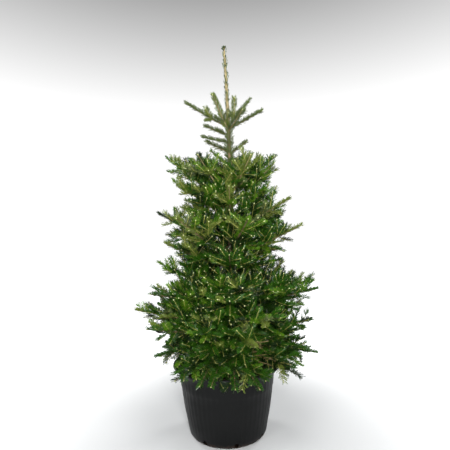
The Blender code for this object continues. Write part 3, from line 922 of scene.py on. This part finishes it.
def bark_radius(height, turn):
    """The trunk's radius at a turn, with whorl scars, the roots' lobes, bark relief and blisters."""
    swelling = sum(0.10 * math.exp(-((height - scar) / 0.014) ** 2) for scar in SCAR_HEIGHTS)
    lobes = 0.22 * math.exp((SOIL_TOP - height) / 0.022) * math.cos(5 * turn + 0.7)
    spot = Vector((math.cos(turn) * 0.9, math.sin(turn) * 0.9, height * 26))
    relief = 0.045 * noise.noise(spot * 1.3) + 0.030 * noise.noise(spot * 4.1)
    fine_spot = Vector((math.cos(turn) * 3.2, math.sin(turn) * 3.2, height * 75))
    blister = max(0, noise.noise(fine_spot) - 0.45)
    return trunk_radius(height) * (1 + swelling + lobes + relief + 0.28 * blister)


def build_trunk(materials):
    """The trunk up to the leading shoot, and the leading shoot, each as rings drawn up from a circle."""
    for name, bark, low, high, sides, steps in TRUNK_PARTS:
        shape = bmesh.new()
        ring = bmesh.ops.create_circle(shape, cap_ends=False, radius=1, segments=sides)["verts"]
        edges = shape.edges[:]
        rings = [ring]
        for _ in range(steps):
            grown = bmesh.ops.extrude_edge_only(shape, edges=edges)["geom"]
            ring = [part for part in grown if isinstance(part, bmesh.types.BMVert)]
            inside = set(ring)
            edges = [part for part in grown
                     if isinstance(part, bmesh.types.BMEdge) and all(v in inside for v in part.verts)]
            rings.append(ring)
        for i, ring in enumerate(rings):
            height = low + (high - low) * i / steps
            centre = trunk_centre(height)
            for vertex in ring:
                turn = math.atan2(vertex.co.y, vertex.co.x)
                radius = bark_radius(height, turn)
                vertex.co = centre + Vector((math.cos(turn) * radius, math.sin(turn) * radius, 0))
        for end in (rings[0], rings[-1]):
            bmesh.ops.contextual_create(shape, geom=end)
        place_piece(mesh_of(shape), name, materials[bark], ["trunk"], smooth=True)


def build_leader_buds(material):
    """The buds along the leading shoot, and the cluster at its tip."""
    tips = []
    for i in range(LEADER_BUDS):
        height = LEADER_BUDS_FROM + LEADER_BUDS_OVER * i / (LEADER_BUDS - 1)
        turn = i * 2.4
        out = Vector((math.cos(turn), math.sin(turn), 0.9)).normalized()
        tips.append((trunk_centre(height) + out * trunk_radius(height) * 0.8, out, 0.0125, 0.0046))
    for i in range(TIP_BUDS):
        turn = math.radians(180 + 72 * i)
        out = Vector((math.cos(turn), math.sin(turn), 0.8)).normalized() if i else UP
        tips.append((trunk_centre(TREE_TIP - 0.013) + out * 0.004, out, 0.0135, 0.0050))
    out = Vector((-1, -0.2, 0.3)).normalized()
    tips.append((trunk_centre(TREE_TIP - 0.020) + out * 0.004, out, 0.0150, 0.0050))
    points, faces = bud_arrays(tips, SEED)
    place_arrays("leader_buds", points, faces, material, ["trunk"])


def spun(outline, steps):
    """A solid turned from an outline of (radius, height) that starts and ends on the axis."""
    shape = bmesh.new()
    line = [shape.verts.new((radius, 0, height)) for radius, height in outline]
    edges = [shape.edges.new(pair) for pair in zip(line, line[1:])]
    bmesh.ops.spin(shape, geom=line + edges, axis=(0, 0, 1), cent=(0, 0, 0), angle=math.tau,
                   steps=steps, use_merge=True)
    bmesh.ops.remove_doubles(shape, verts=shape.verts, dist=0.00001)
    return shape


def build_pot(material):
    """The pot: its outline spun round, with fine ribs up the wall and openings round the foot."""
    wall = [(radius - POT_WALL, height) for radius, height in POT_OUTLINE[POT_WALL_POINTS]]
    inside = [*POT_INNER_FOOT, *wall, POT_INNER_LIP]
    outline = [(0, 0), (POT_CENTRE_RING, 0), *POT_OUTLINE, *reversed(inside),
               (POT_CENTRE_RING, POT_FLOOR), (0, POT_FLOOR)]
    shape = spun(outline, POT_STEPS)
    for vertex in shape.verts:
        radius = math.hypot(vertex.co.x, vertex.co.y)
        if RIBS_FROM <= vertex.co.z < RIBS_TO and radius > RIBS_OUTSIDE:
            turn = math.atan2(vertex.co.y, vertex.co.x)
            grown = radius + RIB_DEPTH * math.cos(RIB_COUNT * turn)
            vertex.co.x *= grown / radius
            vertex.co.y *= grown / radius
    pot = place_piece(mesh_of(shape), "pot_shell", material, ["pot"], smooth=True)
    for i in range(DRAIN_COUNT):
        turn = math.tau * (i + 0.25) / DRAIN_COUNT
        shape = bmesh.new()
        place = Matrix.Rotation(turn, 4, "Z") @ Matrix.Translation(DRAIN_PLACE)
        bmesh.ops.create_cone(shape, cap_ends=True, segments=24, radius1=DRAIN_RADIUS,
                              radius2=DRAIN_RADIUS, depth=DRAIN_LENGTH,
                              matrix=place @ Matrix.Rotation(math.radians(90), 4, "Y"))
        cutter = add_object("drain_cutter", mesh_of(shape))
        cut = pot.modifiers.new("drain", "BOOLEAN")
        cut.operation = "DIFFERENCE"
        cut.object = cutter
        bpy.context.view_layer.update()
        graph = bpy.context.evaluated_depsgraph_get()
        opened = bpy.data.meshes.new_from_object(pot.evaluated_get(graph))
        pot.modifiers.clear()
        pot.data = opened
        bpy.data.objects.remove(cutter, do_unlink=True)
    pot.data.name = "pot_shell"
    pot.data.materials.clear()
    pot.data.materials.append(material)
    sharp = bmesh.new()
    sharp.from_mesh(pot.data)
    for edge in sharp.edges:
        if len(edge.link_faces) == 2:
            edge.smooth = edge.calc_face_angle() < math.radians(SHARP_OVER)
    sharp.to_mesh(pot.data)
    sharp.free()


def build_soil(material, chip_material):
    """The soil's crumbly top and the block under it, with chips of bark strewn on."""
    edge = SOIL_SIDE[-1][0]
    top = [(edge * (1 - i / SOIL_RINGS), SOIL_EDGE_TOP + SOIL_DOME * min(1, i / SOIL_DOME_RINGS))
           for i in range(1, SOIL_RINGS + 1)]
    shape = spun([*SOIL_SIDE, *top], SOIL_STEPS)
    for vertex in shape.verts:
        if vertex.co.z > SOIL_CRUMBLY_FROM:
            vertex.co.z += noise.noise(vertex.co * 38) * 0.0045 + noise.noise(vertex.co * 120) * 0.0025
    place_piece(mesh_of(shape), "soil_top", material, ["potting_soil"], smooth=True)
    dice = random.Random(SEED + 9)
    shape = bmesh.new()
    for _ in range(CHIP_COUNT):
        turn, radius = dice.uniform(0, math.tau), CHIPS_WITHIN * math.sqrt(dice.random())
        if radius < CHIPS_FROM:
            continue
        size = dice.uniform(0.004, 0.013)
        place = (Matrix.Translation((math.cos(turn) * radius, math.sin(turn) * radius, CHIP_HEIGHT))
                 @ Matrix.Rotation(dice.uniform(0, math.tau), 4, "Z")
                 @ Matrix.Rotation(dice.uniform(-0.5, 0.5), 4, "X")
                 @ Matrix.Diagonal((size, size * dice.uniform(0.4, 0.8),
                                    size * dice.uniform(0.15, 0.4), 1)))
        bmesh.ops.create_icosphere(shape, subdivisions=1, radius=0.5, matrix=place)
    place_piece(mesh_of(shape), "bark_chips", chip_material, ["potting_soil"])


def build_stage():
    """A plain pale floor that brightens to white away from the pot, by a painted glow that only the
    camera sees.
    """
    material, shader = new_material("studio_floor", "#d3d4d4", 0.9)
    place = object_place(material)
    away = add_node(material, "ShaderNodeVectorMath", {"operation": "LENGTH"}, {0: place})
    white = add_node(material, "ShaderNodeMapRange", {"interpolation_type": "SMOOTHSTEP"},
                     {"Value": away.outputs["Value"], "From Min": FLOOR_GREY_TO,
                      "From Max": FLOOR_WHITE_FROM})
    seen = add_node(material, "ShaderNodeLightPath").outputs["Is Camera Ray"]
    glow = add_node(material, "ShaderNodeMath", {"operation": "MULTIPLY"},
                    {0: white.outputs["Result"], 1: seen})
    shader.inputs["Emission Color"].default_value = (1, 1, 1, 1)
    link(material, glow.outputs["Value"], shader.inputs["Emission Strength"])
    shape = bmesh.new()
    bmesh.ops.create_circle(shape, cap_ends=True, radius=FLOOR_RADIUS, segments=96)
    mesh = bpy.data.meshes.new("studio_floor")
    shape.to_mesh(mesh)
    shape.free()
    floor = add_object("studio_floor", mesh)
    mesh.materials.append(material)


def add_lamp(name, place, aim, size, power):
    """A white disc lamp that the camera doesn't see."""
    data = bpy.data.lights.new(name, "AREA")
    data.shape = "DISK"
    data.size = size
    data.energy = power
    obj = add_object(name, data)
    obj.location = place
    obj.visible_camera = False
    obj.rotation_euler = (Vector(aim) - Vector(place)).to_track_quat("-Z", "Y").to_euler()


def add_camera():
    """The camera, level and upright but for its pitch and roll."""
    data = bpy.data.cameras.new("front_camera")
    data.lens = CAMERA_LENS
    data.sensor_width = SENSOR_WIDTH
    data.clip_start = 0.05
    camera = add_object("front_camera", data)
    camera.matrix_world = (Matrix.Translation(CAMERA_PLACE)
                           @ Matrix.Rotation(math.radians(90 + CAMERA_PITCH), 4, "X")
                           @ Matrix.Rotation(math.radians(CAMERA_ROLL), 4, "Z"))
    bpy.context.scene.camera = camera


def set_world():
    """Soft light from all round, and a backdrop that is white below and greyer above, a painted shade
    that only the camera sees.
    """
    world = bpy.data.worlds.new("studio")
    world.use_nodes = True
    light = world.node_tree.nodes["Background"]
    light.inputs["Color"].default_value = linear("#eef1f5")
    light.inputs["Strength"].default_value = AMBIENT
    way = add_node(world, "ShaderNodeTexCoord").outputs["Generated"]
    height = add_node(world, "ShaderNodeSeparateXYZ", inputs={"Vector": way}).outputs["Z"]
    shade = add_node(world, "ShaderNodeMapRange", None,
                     {"Value": height, "From Min": 0.40, "From Max": 0.62,
                      "To Min": 1.02, "To Max": 0.40})
    backdrop = add_node(world, "ShaderNodeBackground", None,
                        {"Color": linear("#ffffff"), "Strength": shade.outputs["Result"]})
    seen = add_node(world, "ShaderNodeLightPath").outputs["Is Camera Ray"]
    both = add_node(world, "ShaderNodeMixShader", None,
                    {0: seen, 1: light.outputs[0], 2: backdrop.outputs[0]})
    link(world, both.outputs[0], world.node_tree.nodes["World Output"].inputs["Surface"])
    bpy.context.scene.world = world
    bpy.context.scene.view_settings.view_transform = "Standard"


def main():
    """Builds the tree in its pot, the stage, the light and the camera."""
    materials = {
        # The shaded needles are a painted shade. The fresh, olive and grey ones, dealt out more in the
        # light, are partly painted light.
        "deep": needle_material("fir_needles_painted_shade", "#162d07", 0.40),
        "green": needle_material("fir_needles_green", "#2a510b", 0.36),
        "fresh": needle_material("fir_needles_fresh", "#4f7417", 0.36),
        "olive": needle_material("fir_needles_olive", "#66762f", 0.40),
        "grey": needle_material("fir_needles_grey_green", "#59673a", 0.40),
        # Young shoots: their own pale yellow green, made paler still as a painted highlight.
        "twig": new_material("young_shoot_bark", "#aca757", 0.6)[0],
        # Buds: their scales' own colour made near white as a painted glint, and darker on the low whorls
        # as a painted shade.
        "bud": new_material("bud_scales_and_painted_glint", "#dadda0", 0.45)[0],
        "low_bud": new_material("bud_scales_painted_shade", "#a3a768", 0.50)[0],
        "leader_bud": new_material("leader_bud_scales", "#3c4a2c", 0.5)[0],
        "dead": new_material("dead_twig_bark", "#7d6a45", 0.8)[0],
        "bark": bark_material(),
        "leader": leader_material(),
    }
    build_tree(materials)
    build_trunk(materials)
    build_leader_buds(materials["leader_bud"])
    build_pot(pot_material())
    build_soil(soil_material(), new_material("fir_bark_chips", "#4d3626", 0.9)[0])
    build_stage()
    for lamp in LAMPS:
        add_lamp(*lamp)
    set_world()
    add_camera()


main()
